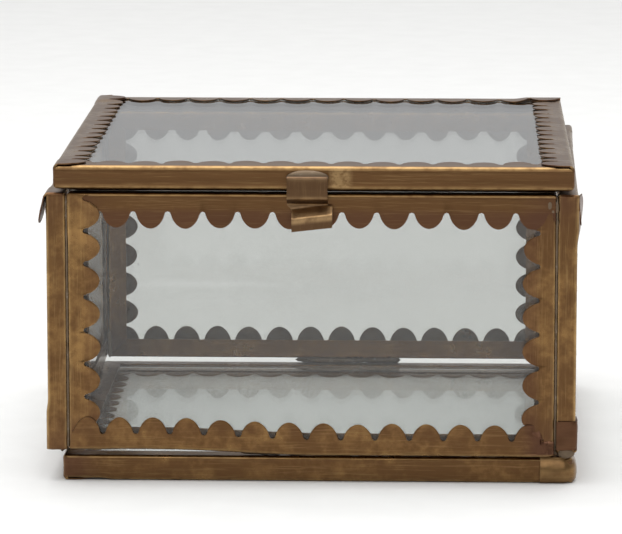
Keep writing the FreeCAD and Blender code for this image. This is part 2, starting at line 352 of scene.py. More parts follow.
def place_group(tree, name, **values):
    """The group as a node of tree, with its inputs set or linked."""
    node = tree.nodes.new("ShaderNodeGroup")
    node.node_tree = GROUPS[name]
    node.label = name.replace("_", " ")
    for label, value in values.items():
        feed(tree, value, node.inputs[label.replace("_", " ")])
    return node


# %% [markdown]
# ## Brass
# One builder makes every brass finish from the same five tones: rubbed metal, the
# middle tone, the brown that air gives, the red that heat gives, and the grey of
# solder that has run over it. The brown also serves as painted shade on some strips,
# and the red as painted shade at the clasp's waist. It is a full metal, because
# patina this thin still mirrors the room, under a thin coat of wax. Rubbed places are
# smoother, brown ones duller. The bump carries only the mill lines and the smallest
# dents: larger dents are in the mesh.

# %% Brass builder
def brass_finish(name, tones, browning, rubbed, dull, lines=60.0, stretch=40.0, cloud=110.0,
                 streaks=0.20, has_marks=True):
    """A brass material. tones: rubbed, middle, brown, red, solder. Returns it."""
    material = new_material(name)
    tree = material.node_tree
    rubbed_tone, middle_tone, brown_tone, red_tone, solder_tone = [(*tone, 1.0) for tone in tones]
    place = add(tree, "TexCoord").outputs["Object"]
    if has_marks:
        along = add(tree, "UVMap", uv_map="strip").outputs["UV"]
        marks = add(tree, "Attribute", attribute_name="marks")
        channels = add(tree, "SeparateColor")
        feed(tree, marks.outputs["Color"], channels.inputs["Color"])
        fold, heat, smear = (channels.outputs[label] for label in ("Red", "Green", "Blue"))
        # the marks' alpha browns the strip: tarnish, and on some strips painted shade
        browning = maths(tree, "MULTIPLY_ADD", marks.outputs["Alpha"], 0.40, browning)
    else:
        along, fold, heat, smear = place, 0.0, 0.0, 0.0
        lines, stretch = 2600.0, 14.0

    grain = place_group(tree, "mill_grain", Map=along, Lines=lines, Stretch=stretch)
    patina = place_group(tree, "patina", Place=place, Cloud_Size=cloud, Amount=browning)
    edge = place_group(tree, "rubbed_edge", Place=place, Fold=fold, Strength=rubbed)

    tone = mix_colour(tree, patina.outputs["Brown"], middle_tone, brown_tone)
    tone = mix_colour(tree, maths(tree, "MULTIPLY", remap(tree, grain.outputs["Line"], 0.50, 0.68), streaks),
                      tone, rubbed_tone)
    tone = mix_colour(tree, maths(tree, "MULTIPLY", remap(tree, grain.outputs["Line"], 0.46, 0.32), streaks),
                      tone, brown_tone)
    # the red heat tint; on the clasp it also paints the shade at the waist
    tone = mix_colour(tree, maths(tree, "MULTIPLY", heat, 0.85), tone, red_tone)
    tone = mix_colour(tree, maths(tree, "MULTIPLY", patina.outputs["Speck"], 0.55), tone, brown_tone)
    tone = mix_colour(tree, edge.outputs["Worn"], tone, rubbed_tone)
    if has_marks:
        patchy = noise_of(tree, place, 700.0, 4.0, 0.65)
        smear = maths(tree, "MULTIPLY", smear, remap(tree, patchy, 0.38, 0.58, 0.30, 1.0))
    tone = mix_colour(tree, smear, tone, solder_tone)

    shine = maths(tree, "MULTIPLY_ADD", patina.outputs["Brown"], 0.13, dull)
    shine = maths(tree, "MULTIPLY_ADD", grain.outputs["Line"], 0.10, shine)
    shine = maths(tree, "MULTIPLY_ADD", edge.outputs["Worn"], -0.10, shine)
    shine = maths(tree, "MULTIPLY_ADD", heat, 0.07, shine)

    bump = add(tree, "Bump")
    bump.inputs["Strength"].default_value = 0.30
    bump.inputs["Distance"].default_value = 0.00008
    dents = noise_of(tree, place, 420.0, 3.0, 0.6)
    feed(tree, maths(tree, "MULTIPLY_ADD", dents, 0.9, grain.outputs["Line"]), bump.inputs["Height"])

    shader = add(tree, "BsdfPrincipled")
    shader.inputs["Metallic"].default_value = 1.0
    shader.inputs["Coat Weight"].default_value = 0.10    # the thin wax that keeps the patina
    shader.inputs["Coat Roughness"].default_value = 0.22
    feed(tree, tone, shader.inputs["Base Color"])
    feed(tree, shine, shader.inputs["Roughness"])
    feed(tree, bump.outputs["Normal"], shader.inputs["Normal"])
    feed(tree, shader.outputs["BSDF"], tree.nodes["Material Output"].inputs["Surface"])
    return material


# %% Brass finishes
STRIP_TONES = [(0.50, 0.33, 0.14), (0.265, 0.148, 0.054), (0.125, 0.062, 0.024),
               (0.100, 0.045, 0.027), (0.34, 0.22, 0.10)]
CLASP_TONES = [(0.48, 0.31, 0.15), (0.185, 0.102, 0.041), (0.105, 0.056, 0.025),
               (0.10, 0.058, 0.036), (0.33, 0.27, 0.19)]
HINGE_TONES = [(0.44, 0.30, 0.13), (0.240, 0.145, 0.060), (0.110, 0.060, 0.026),
               (0.15, 0.07, 0.04), (0.30, 0.26, 0.20)]
FINISH = {
    "antique_brass": brass_finish("antique_brass", STRIP_TONES, 0.42, 0.60, 0.17),
    "clasp_brass": brass_finish("clasp_brass", CLASP_TONES, 0.40, 0.85, 0.24, 46.0, 22.0, 150.0,
                                streaks=0.10),
    "hinge_brass": brass_finish("hinge_brass", HINGE_TONES, 0.58, 0.5, 0.34, has_marks=False),
}
print("brass finishes:", sorted(FINISH))

# %% [markdown]
# ## Solder
# The joints are soft solder run on with an iron. It freezes in rounded lumps, bright
# grey where it is clean and dull brown where flux and dirt stay on it. The colour
# mixes the two by a coarse noise, and the bump adds the fine frosted skin.

# %% Solder finish
def solder_finish(name):
    """Solder: dull grey metal, browned in patches, with a frosted skin."""
    material = new_material(name)
    tree = material.node_tree
    place = add(tree, "TexCoord").outputs["Object"]
    patina = place_group(tree, "patina", Place=place, Cloud_Size=420.0, Amount=0.62)
    dust = place_group(tree, "dust", Place=place, Speck_Scale=1400.0, Speck_Size=0.20)
    tone = mix_colour(tree, patina.outputs["Brown"], (0.46, 0.43, 0.38, 1), (0.17, 0.125, 0.085, 1))
    tone = mix_colour(tree, maths(tree, "MULTIPLY", dust.outputs["Speck"], 0.6), tone, (0.10, 0.075, 0.05, 1))
    bump = add(tree, "Bump")
    bump.inputs["Strength"].default_value = 0.35
    bump.inputs["Distance"].default_value = 0.00015
    feed(tree, noise_of(tree, place, 900.0, 4.0), bump.inputs["Height"])
    shader = add(tree, "BsdfPrincipled")
    shader.inputs["Metallic"].default_value = 1.0
    feed(tree, tone, shader.inputs["Base Color"])
    feed(tree, maths(tree, "MULTIPLY_ADD", patina.outputs["Brown"], 0.25, 0.32), shader.inputs["Roughness"])
    feed(tree, bump.outputs["Normal"], shader.inputs["Normal"])
    feed(tree, shader.outputs["BSDF"], tree.nodes["Material Output"].inputs["Surface"])
    return material


FINISH["tin_solder"] = solder_finish("tin_solder")

# %% [markdown]
# ## Glass
# The panes are plain 4 mm sheet glass. Their grey-green tint is far darker than real
# glass: it is painted shade, which greys the pale floor seen through the walls. The
# panes keep their measured shape, so only the finish is made here. Colour carries
# the tint and painted shade with its specks of dust, roughness carries the film that
# cleaning leaves. The base's pane is tinted much less than the others, so that it
# looks brighter.
# A lamp's rays pass through a Transparent shader instead of the glass, because
# bent light from a soft lamp would otherwise leave the inside of the box too dark.

# %% Glass finish
def glass_finish(name, clean_tint_and_shade, film_tint_and_shade):
    """Glass whose tint, which also carries painted shade, goes from the clean tone to the film tone where it
    is smeared.
    """
    material = new_material(name)
    tree = material.node_tree
    place = add(tree, "TexCoord").outputs["Object"]
    dust = place_group(tree, "dust", Place=place, Speck_Scale=150.0, Speck_Size=0.035)
    tone = mix_colour(tree, maths(tree, "MULTIPLY", dust.outputs["Film"], 0.5),
                      (*clean_tint_and_shade, 1), (*film_tint_and_shade, 1))
    tone = mix_colour(tree, maths(tree, "MULTIPLY", dust.outputs["Speck"], 0.75), tone, (0.20, 0.19, 0.17, 1))
    shader = add(tree, "BsdfPrincipled")
    shader.inputs["Metallic"].default_value = 0.0
    shader.inputs["Transmission Weight"].default_value = 1.0
    shader.inputs["IOR"].default_value = 1.50
    feed(tree, tone, shader.inputs["Base Color"])
    feed(tree, remap(tree, dust.outputs["Film"], 0.0, 1.0, 0.003, 0.018), shader.inputs["Roughness"])
    clear = add(tree, "BsdfTransparent")
    clear.inputs["Color"].default_value = (0.93, 0.94, 0.935, 1)
    either = add(tree, "MixShader")
    feed(tree, add(tree, "LightPath").outputs["Is Shadow Ray"], either.inputs["Fac"])
    feed(tree, shader.outputs["BSDF"], either.inputs[1])
    feed(tree, clear.outputs["BSDF"], either.inputs[2])
    feed(tree, either.outputs["Shader"], tree.nodes["Material Output"].inputs["Surface"])
    return material


# painted shade: the wall panes' tint is much darker than real glass, to grey what is seen through them; the
# base's pane carries little of it
FINISH["clear_glass"] = glass_finish("clear_glass", (0.672, 0.683, 0.670), (0.640, 0.650, 0.636))
FINISH["clean_glass"] = glass_finish("clean_glass", (0.93, 0.935, 0.925), (0.88, 0.885, 0.87))
for name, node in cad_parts.items():
    wanted = ("clean_glass" if name == "base_glass" else "clear_glass" if name.endswith("_glass")
              else "hinge_brass" if "hinge" in name else None)
    if wanted:
        node.data.materials.clear()
        node.data.materials.append(FINISH[wanted])
print("measured pieces that stay in sight:",
      sorted(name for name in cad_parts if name.endswith("_glass") or "hinge" in name))

# %% [markdown]
# ## Sheet metal from a grid
# Every brass piece is thin sheet, so it is drawn as one surface and then given its
# thickness. The surface is a grid of points: columns run along the strip, rows run
# round its section. Solidify adds the sheet inwards, a small bevel takes the
# sharpness off the cut edges, and weighted normals keep the flat parts flat.

# %% Sheet from a grid
SHEET = 0.30 * MM


def mesh_from_grid(name, points, lengths, widths, marks):
    """A surface through points[row, column], with its map and its marks."""
    rows, columns, _ = points.shape
    corners = points.reshape(-1, 3)
    index = np.arange(rows * columns).reshape(rows, columns)
    quads = np.stack([index[:-1, :-1], index[1:, :-1], index[1:, 1:], index[:-1, 1:]], -1).reshape(-1, 4)
    mesh = bpy.data.meshes.new(name)
    mesh.from_pydata(corners.tolist(), [], quads.tolist())
    uv = mesh.uv_layers.new(name="strip")
    flat = np.stack([lengths, widths], -1).reshape(-1, 2)
    loops = np.empty(len(mesh.loops), np.int32)
    mesh.loops.foreach_get("vertex_index", loops)
    uv.data.foreach_set("uv", flat[loops].astype(np.float32).ravel())
    colour = mesh.color_attributes.new("marks", "FLOAT_COLOR", "POINT")
    colour.data.foreach_set("color", marks.reshape(-1, 4).astype(np.float32).ravel())
    mesh.polygons.foreach_set("use_smooth", [True] * len(mesh.polygons))
    return mesh


def settled(piece):
    """Turns the piece's modifiers into its mesh."""
    bpy.context.view_layer.update()
    graph = bpy.context.evaluated_depsgraph_get()
    final = bpy.data.meshes.new_from_object(piece.evaluated_get(graph), depsgraph=graph)
    old = piece.data
    piece.modifiers.clear()
    piece.data = final
    bpy.data.meshes.remove(old)
    return piece


def sheet_piece(name, mesh, finish, thickness=SHEET, bevel=0.05 * MM):
    """A piece of sheet metal from a surface, with its finish."""
    piece = bpy.data.objects.new(name, mesh)
    bpy.context.scene.collection.objects.link(piece)
    mesh.materials.append(FINISH[finish])
    solid = piece.modifiers.new("sheet", "SOLIDIFY")
    solid.thickness = thickness
    solid.offset = -1.0
    solid.use_even_offset = True
    soft = piece.modifiers.new("cut_edges", "BEVEL")
    soft.width = bevel
    soft.segments = 2
    soft.limit_method = "ANGLE"
    soft.angle_limit = math.radians(50)
    piece.modifiers.new("normals", "WEIGHTED_NORMAL").keep_sharp = True
    return settled(piece)


# %% [markdown]
# ## Scallops
# The scallops are punched one after another by hand, so their spacing and depth
# wander a little. A scallop is nearly a half circle with its flanks leaning in, and
# a small round notch parts it from the next. The columns are closer where the edge
# turns, so the curve stays round with few points.

# %% Scalloped edge
BAND = 3.75 * MM             # height of a plain flange up to the notches


def scalloped_edge(length, first, pitch, notch, band, dice):
    """Columns along the strip: place, flange height there and which scallop it is."""
    centres = []
    centre = first
    while centre > -pitch / 2:
        centre -= pitch
    while centre < length + pitch:
        centres.append(centre + dice.uniform(-0.10, 0.10) * MM)
        centre += pitch
    columns = []
    for number in range(1, len(centres) - 1):
        left = (centres[number - 1] + centres[number]) / 2 + notch
        right = (centres[number] + centres[number + 1]) / 2 - notch
        middle, half = (left + right) / 2, (right - left) / 2
        tall = (pitch / 2 - notch) * dice.uniform(0.94, 1.03)
        for step in range(13):
            turn = math.pi * step / 12
            lean = 0.80 * math.cos(turn) + 0.20 * math.copysign(1 - math.sin(turn), math.cos(turn))
            columns.append((middle - half * lean, band + notch + tall * math.sin(turn), number))
        for step in range(1, 4):
            turn = math.pi * step / 4
            columns.append((right + notch - notch * math.cos(turn),
                            band + notch - notch * math.sin(turn), number))
    return columns


def between(columns, low, high):
    """The columns from low to high, with one exactly at each end."""
    places = np.array([column[0] for column in columns])
    heights = np.array([column[1] for column in columns])
    numbers = np.array([column[2] for column in columns])
    near = 0.22 * MM
    inside = (places > low + near) & (places < high - near)
    chosen = np.concatenate([[low], places[inside], [high]])
    return (chosen, np.interp(chosen, places, heights),
            numbers[np.clip(np.searchsorted(places, chosen), 0, len(places) - 1)])


# %% [markdown]
# ## Folded strips
# A strip starts flat and is folded twice round the glass. Its section therefore runs
# from the scallops down the outer flange, round a fold, across the edge of the pane,
# round the second fold and up the plain inner flange. At a corner one strip lies on
# top of its neighbour, so its flange is lifted by one sheet there, and the one below
# stops just short of it. The inner flanges are mitred. Nothing is quite straight:
# slow noise bends the flanges by a few hundredths of a millimetre.

# %% Directions of each pane
X, Y, Z = Vector((1, 0, 0)), Vector((0, 1, 0)), Vector((0, 0, 1))
PANES = {  # sides in order, the way across, the way up; going round as seen from outside
    "front": (("bottom", "right", "top", "left"), X, Z),
    "back": (("bottom", "left", "top", "right"), -X, Z),
    "right": (("bottom", "back", "top", "front"), Y, Z),
    "left": (("bottom", "front", "top", "back"), -Y, Z),
    "base": (("back", "right", "front", "left"), X, -Y),
    "lid": (("front", "right", "back", "left"), X, Y),
}


def strip_place(node, pane, quarter):
    """The strip's own axes, its zero corner, its length and its width."""
    _, across, upward = PANES[pane]
    outward = across.cross(upward)
    turns = [(across, upward), (upward, -across), (-across, -upward), (-upward, across)]
    along, inward = turns[quarter]
    low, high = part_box(node)

    def reach(way):
        """The node's nearest and farthest place along a direction."""
        ends = [low.dot(way), high.dot(way)]
        return min(ends), max(ends)

    zero = along * reach(along)[0] + inward * reach(inward)[0] + outward * reach(outward)[1]
    length = reach(along)[1] - reach(along)[0]
    width = reach(outward)[1] - reach(outward)[0]
    return along, inward, outward, zero, length, width


print("front top strip:", [round(value / MM, 2) for value in strip_place("front_top_strip", "front", 2)[4:]])

# %% Sizes and slow curves
FOLD = 0.90 * MM             # radius of a wall strip's folds
INNER = 4.80 * MM            # width of the plain inner flange
OVERLAP = 0.36 * MM          # lift of a flange that lies on its neighbour
LANDING = 8.2 * MM           # it stays lifted over the neighbour's scallops
COMES_DOWN = 4 * MM          # and then comes down to the glass over this length
STOP_SHORT = 0.42 * MM       # how far the one below stops from the edge
CUT_REACH = 14 * MM          # the columns near an end share its cut over this length
END_HEAT = 11 * MM           # how far along a strip the soldering iron's heat shows


def soft_step(value):
    """0 below 0, 1 above 1, and a smooth climb between."""
    value = np.clip(value, 0, 1)
    return value * value * (3 - 2 * value)


def rounded_end(distance, radius):
    """How far an upright corner of that radius turns in, at a distance from the end."""
    near = np.clip(radius - distance, 0, radius)
    return radius - np.sqrt(radius ** 2 - near ** 2)


def wander(place, size, seed):
    """Slow noise along the strip, from -1 to 1."""
    return np.array([noise.noise(Vector((x / size, seed, 0.37))) for x in place])


# %% [markdown]
# A row of the section is a kind (outer flange, fold, web, inner fold, inner flange),
# how far it lies in over the pane, how far out, and its share of the way through its
# kind. The folds get four rows each, so that light runs round them smoothly.

# %% Section of a strip
RUBBED_ROWS = (0.0, 0.25, 0.85, 0.85, 0.25)    # how rubbed each row of a fold is
FOLD_STEPS = 5


def section_rows(heights, width, fold):
    """Rows round the section: kind, how far in over the pane, how far out, share."""
    level = 0 * heights
    rows = []
    for share in (1.0, 0.86, 0.70, 0.52, 0.34, 0.16, 0.0):
        rows.append(("outer", fold + (heights - fold) * share, level, share))
    for step in range(1, FOLD_STEPS):
        turn = math.pi / 2 * step / FOLD_STEPS
        rows.append(("fold", level + fold * (1 - math.sin(turn)),
                     level - fold * (1 - math.cos(turn)), RUBBED_ROWS[step]))
    for share in (0.0, 0.25, 0.5, 0.75, 1.0):
        rows.append(("web", level, level - fold - (width - 2 * fold) * share, share))
    for step in range(1, FOLD_STEPS):
        turn = math.pi / 2 * step / FOLD_STEPS
        rows.append(("fold_in", level + fold * (1 - math.cos(turn)),
                     level - width + fold * (1 - math.sin(turn)), RUBBED_ROWS[step]))
    for share in (0.0, 0.3, 0.65, 1.0):
        rows.append(("inner", level + fold + (INNER - fold) * share, level - width, share))
    return rows


# %% [markdown]
# How a strip was fitted is a short list of named values, the same for every strip
# unless it is told otherwise. Lengths without MM beside them are in millimetres.

# %% How a strip is fitted
USUAL = dict(
    first=None, pitch=None,      # place of the first scallop, and their spacing
    band=BAND, notch=0.66,       # plain height of the flange, radius of its notches
    fold=FOLD, rounding=0.5,     # radius of the folds and of the cut corners
    over=(True, False),          # does each end lie on top of its neighbour
    lap_inside=False,            # underneath, the lower strip is pressed in instead
    slant=(0.0, 0.0),            # how far each end of the flange is cut on the slant
    splay=(0.0, 0.0),            # how far each end leans away from the glass
    stand=(0.0, 0.0),            # how proud of the glass the fold stands at each end
    sag=0.04, droop=0.0,         # hang of the inner flange, and of the whole strip
    crumple=(0.0, 0.0),          # how beaten each end is
    # the last value is the strip's browning: plain tarnish here, and painted shade as well where a strip
    # below is given its own value
    heat=(0.5, 0.35), lobe_heat=0.35, smears=(), tarnish=0.15,
)


def laps(strip):
    """How far the strip is lifted where it lies on its neighbours."""
    at_start, at_end = (OVERLAP * (1 - soft_step((end - LANDING) / COMES_DOWN))
                        for end in (strip.place, strip.from_end))
    if strip.lap_inside:
        return -at_end
    lifted = np.zeros_like(strip.place)
    if strip.over[0]:
        lifted += at_start
    if strip.over[1]:
        lifted += at_end
    return lifted


def cut_to_fit(strip, kind, into):
    """Each column's place along the strip, once its ends are cut to fit."""
    cuts = []
    for lies_over, slant in zip(strip.over, strip.slant):
        cut = (0.0 if lies_over else STOP_SHORT) + 0 * strip.place
        if kind == "outer":
            cut = np.maximum(cut, 0.22 * MM) + slant * into
        if kind in ("fold_in", "inner"):
            cut = np.maximum(cut, into + 0.07 * MM)    # mitred
        cuts.append(cut)
    return (strip.place + cuts[0] * np.clip(1 - strip.place / CUT_REACH, 0, 1)
            - cuts[1] * np.clip(1 - strip.from_end / CUT_REACH, 0, 1))


# %% Bends of a strip
def bent_row(strip, kind, into, out, share):
    """A row with its laps, leans, dents and crumples: along, in and out."""
    u = cut_to_fit(strip, kind, into)
    proud = (strip.stand[0] + (strip.stand[1] - strip.stand[0]) * strip.place / strip.length) * MM
    radius = strip.rounding * MM
    if kind in ("outer", "fold"):
        out = out + strip.lifted + proud
    if kind in ("web", "fold", "fold_in"):
        turned_in = rounded_end(u, radius) + rounded_end(strip.length - u, radius)
        into = into + turned_in * (1 - into / strip.fold)
    if kind == "outer":
        out = out + strip.sway * share + strip.tip_curl * share ** 2
        out = out + strip.splay[0] * into * (1 - soft_step(strip.place / (16 * MM)))
        out = out + strip.splay[1] * into * (1 - soft_step(strip.from_end / (16 * MM)))
    if kind == "web":
        out = out + (strip.lifted + proud) * (1 - share)
        dent = 0.5 + 0.5 * np.array([noise.noise(Vector((x / (9 * MM), share * 1.3, strip.seed)))
                                     for x in u])
        into = into + 0.10 * MM * dent * math.sin(math.pi * share)
    if kind == "inner":
        uneven = 0.985 + 0.015 * wander(strip.place, 15 * MM, strip.seed + 7.5)
        out = out - strip.sag * MM * share * uneven
    into, out = crumpled(strip, kind, u, into, out, share)
    into = into - strip.droop * MM * soft_step((u - 20 * MM) / (40 * MM)) + 0.2 * strip.droop * MM
    return u, into, out


def crumpled(strip, kind, u, into, out, share):
    """The row pushed about by rough noise near a beaten end."""
    for end, amount in ((strip.place, strip.crumple[0]), (strip.from_end, strip.crumple[1])):
        if amount:
            near = (1 - soft_step(end / (11 * MM))) * amount * MM
            rough = np.array([noise.turbulence(Vector((x / (2.0 * MM), y / (1.9 * MM), strip.seed)),
                                               3, False) for x, y in zip(u, into)])
            if kind == "outer":
                out = out + near * (rough - 0.1)
            elif kind == "web":
                into = into + near * 0.5 * rough * math.sin(math.pi * share)
    return into, out


def row_marks(strip, kind, into, share):
    """The marks colour of a row: red rubbed, green heated, blue smeared, alpha tarnished, which on some
    strips is also painted shade.
    """
    rubbed = share if kind in ("fold", "fold_in") else 0.0
    warm = (strip.heat[0] * (1 - soft_step(strip.place / END_HEAT))
            + strip.heat[1] * (1 - soft_step(strip.from_end / END_HEAT)))
    if kind == "outer":
        warm = warm + strip.lobe_heat * soft_step((into - 3.4 * MM) / (1.6 * MM))
    smear = 0 * strip.place
    if kind in ("web", "fold", "fold_in"):
        soft = 1.2 * MM
        for low, high, strong in strip.smears:
            smear = smear + (strong * soft_step((strip.place - low) / soft)
                             * soft_step((high - strip.place) / soft))
    level = 0 * strip.place
    return np.stack([rubbed + level, np.clip(warm, 0, 1), np.clip(smear, 0, 1), level + strip.tarnish], -1)


# %% One folded strip
def folded_strip(pane, side, quarter, body, seed, **fitting):
    """One strip of a pane, standing for its measured node."""
    node = f"{pane}_{side}_strip"
    strip = SimpleNamespace(**{**USUAL, **fitting}, seed=seed)
    along, inward, outward, zero, strip.length, width = strip_place(node, pane, quarter)
    dice = random.Random(1000 + seed)
    pitch = strip.pitch or strip.length / max(1, round(strip.length / (8.0 * MM)))
    first = pitch / 2 + dice.uniform(-0.5, 0.5) * MM if strip.first is None else strip.first
    columns = scalloped_edge(strip.length, first, pitch, strip.notch * MM, strip.band, dice)
    strip.place, heights, number = between(columns, 0.0, strip.length)
    strip.from_end = strip.length - strip.place
    strip.lifted = laps(strip)
    curl = np.array([random.Random(seed * 97 + int(k)).uniform(-0.02, 0.20) * MM for k in number])
    strip.tip_curl = -curl if strip.lap_inside else curl
    strip.sway = wander(strip.place, 22 * MM, seed + 0.5) * 0.05 * MM

    points, map_x, map_y, marks = [], [], [], []
    before, gone = None, 0.0
    for kind, into, out, share in section_rows(heights, width, strip.fold):
        u, into, out = bent_row(strip, kind, into, out, share)
        points.append(np.array([zero + along * a + inward * b + outward * c
                                for a, b, c in zip(u, into, out)]))
        if kind != "outer" and before is not None:
            gone += math.hypot(into.mean() - before[0], out.mean() - before[1])
        before = (into.mean(), out.mean()) if kind != "outer" or share == 0 else None
        map_x.append(u * 100 + seed * 1.7)
        map_y.append((strip.fold - into if kind == "outer" else gone + 0 * into) * 100 + seed * 0.9)
        marks.append(row_marks(strip, kind, into, share))
    mesh = mesh_from_grid(node, np.array(points), np.array(map_x), np.array(map_y), np.array(marks))
    piece = sheet_piece(f"{pane}_{side}_scalloped_binding", mesh, "antique_brass")
    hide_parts(node)
    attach(piece, body)
    return piece


# %% [markdown]
# ### Bind the panes
# Going round a pane, each strip starts on top of the one before and ends under the
# next. Strips that were fitted differently get their own values. The front's bottom
# strip lies on both of its neighbours, droops to the right and is beaten flat at its
# right end. The lid's inner flanges hang down nearly to the walls and close the gap.
# Three side strips stand away from the glass, as hand-folded ones do.

# %% Bind the panes
OF_PANE = {"lid": dict(sag=0.955, fold=1.25 * MM), "base": dict(rounding=1.3, lap_inside=True)}
# painted shade: the browning given here makes the lid's front and the front's top strip darker and the
# front's left strip lighter, standing in for the dimmer or brighter room each reflects, on top of plain
# tarnish
SPECIAL = {
    "front_bottom": dict(first=3.65 * MM, pitch=7.98 * MM, notch=0.72, over=(True, True), slant=(0.12, 0.0),
                         droop=1.2, crumple=(0.0, 1.5), heat=(0.15, 1.5), lobe_heat=0.12),
    "front_top": dict(first=5.3 * MM, pitch=8.046 * MM, notch=0.75, band=4.25 * MM, over=(True, False),
                      heat=(0.55, 0.8), lobe_heat=0.7, tarnish=0.65),
    "front_left": dict(first=4.8 * MM, pitch=7.86 * MM, over=(True, False), heat=(0.1, 0.85),
                       lobe_heat=0.25, tarnish=0.0),
    "front_right": dict(first=0.12 * MM, pitch=7.98 * MM, over=(False, False), heat=(0.5, 0.6),
                        lobe_heat=0.5),
    "lid_front": dict(first=5.3 * MM, pitch=7.85 * MM, over=(False, False), heat=(0.2, 0.15),
                      lobe_heat=0.2, smears=[(63.4 * MM, 69.3 * MM, 0.8)], tarnish=0.8),
    "lid_left": dict(over=(True, True)),
    "base_front": dict(heat=(0.5, 0.9), tarnish=0.22),
    "left_top": dict(splay=(0.22, 0.0), heat=(0.7, 0.4)),
    "right_front": dict(splay=(0.13, 0.0), heat=(0.6, 0.4)),
    "right_top": dict(splay=(0.0, 0.12), stand=(1.7, 0.1), heat=(0.4, 0.6)),
}
bindings = {}
for pane, (sides, _, _) in PANES.items():
    for quarter, side in enumerate(sides):
        name = f"{pane}_{side}"
        if f"{name}_strip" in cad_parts:
            bindings[name] = folded_strip(pane, side, quarter, "lid" if pane == "lid" else "box",
                                          seed=len(bindings) + 1,
                                          **OF_PANE.get(pane, {}), **SPECIAL.get(name, {}))
print(len(bindings), "strips,", sum(len(piece.data.polygons) for piece in bindings.values()), "faces")

# %% [markdown]
# ## Clasp
# The clasp is one strip of springy brass. Its foot is soldered flat to the lid, then
# it turns over in a hairpin, comes down in front, curls in to a waist that grips the
# wall's flange and flares out into a finger tab, which sits a little askew. It is
# drawn as a path seen from the side and swept across its width. The foot moves with
# the lid and the leg with the spring, but the piece is drawn once, as it sits with
# the lid shut.

# %% Clasp path
foot_low, foot_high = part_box("clasp_foot")
spring_low, spring_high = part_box("clasp_spring")
clasp_width = foot_high.x - foot_low.x
clasp_middle = (foot_high.x + foot_low.x) / 2
CLASP_SHEET = foot_high.y - foot_low.y
CLASP_LEFT = -0.95 * MM      # the leg hangs left of the middle, the finger tab right of it


def side_path(points, radii):
    """A path of close points through (y, z) corners, with each inner corner rounded."""
    path = [Vector(points[0])]
    for before, corner, after, radius in zip(points, points[1:], points[2:], radii):
        before, corner, after = Vector(before), Vector(corner), Vector(after)
        into, out = (before - corner).normalized(), (after - corner).normalized()
        half = into.angle(out) / 2
        cut = min(radius / math.tan(half), (before - corner).length * 0.49, (after - corner).length * 0.49)
        first, last = corner + into * cut, corner + out * cut
        for step in range(9):
            t = step / 8
            path.append(first * (1 - t) ** 2 + corner * 2 * t * (1 - t) + last * t * t)
    path.append(Vector(points[-1]))
    dense = [path[0]]
    for start, end in zip(path, path[1:]):
        steps = max(1, math.ceil((end - start).length / (0.35 * MM)))
        dense += [start.lerp(end, step / steps) for step in range(1, steps + 1)]
    return dense


def clasp_path():
    """Outer face of the strip, from the end of its foot to the tip of the tab, in y and z."""
    face = foot_low.y                       # outer face of the foot
    stand = spring_low.y + 0.45 * MM        # outer face of the leg
    tab = spring_low.y                      # outer face of the tab
    crown = spring_high.z - 1.10 * MM
    waist = front_face - 0.78 * MM
    foot = [(face, foot_low.z)]
    turn = [(face, crown), (stand, crown)]
    leg = [(stand - 0.06 * MM, crown - 3.0 * MM), (stand + 0.02 * MM, crown - 5.25 * MM),
           (waist, crown - 6.6 * MM), (waist, crown - 7.3 * MM),
           (tab + 0.04 * MM, crown - 9.3 * MM), (tab + 0.12 * MM, crown - 12.3 * MM)]
    return side_path(foot + turn + leg, [1.02 * MM] * 4 + [0.8 * MM, 0.6 * MM, 0.6 * MM, 1.9 * MM])


path = clasp_path()
print("clasp path:", len(path), "points, from z",
      round(path[0].y / MM, 2), "to", round(path[-1].y / MM, 2), "mm")


# %% Clasp piece
TAB_SKEW = 1.10 * MM         # the tab hangs this far to the right of the leg
TAB_TILT = math.radians(6.5)
WAIST_DROP = 8.0 * MM        # from the top of the clasp to its waist


def clasp_marks(row, spot, gone, low_part):
    """Rubbed at the bends and where the thumb rests, browned where it was soldered, and darkened at the waist
    and the top of the tab as painted shade.
    """
    before, after = path[max(0, row - 2)], path[min(len(path) - 1, row + 2)]
    bend = 0.0
    if 0 < row < len(path) - 1 and (spot - before).length and (after - spot).length:
        bend = min(1.0, (spot - before).angle(after - spot) / 0.55)
    # painted shade: the waist and the top of the tab, in the shadow of the leg above, get the dark heat tone
    waist_painted_shade = soft_step((gone - 12.0 * MM) / MM) * soft_step((16.0 * MM - gone) / MM)
    crown = 0.7 * soft_step((5.2 * MM - gone) / MM)
    thumbed = 0.75 * low_part * soft_step((spot.y - path[-1].y - 1.3 * MM) / MM)
    return max(bend * 0.7 * (1 - crown), thumbed), min(1.0, 0.15 + 0.5 * waist_painted_shade + crown), 0.0, 1.0


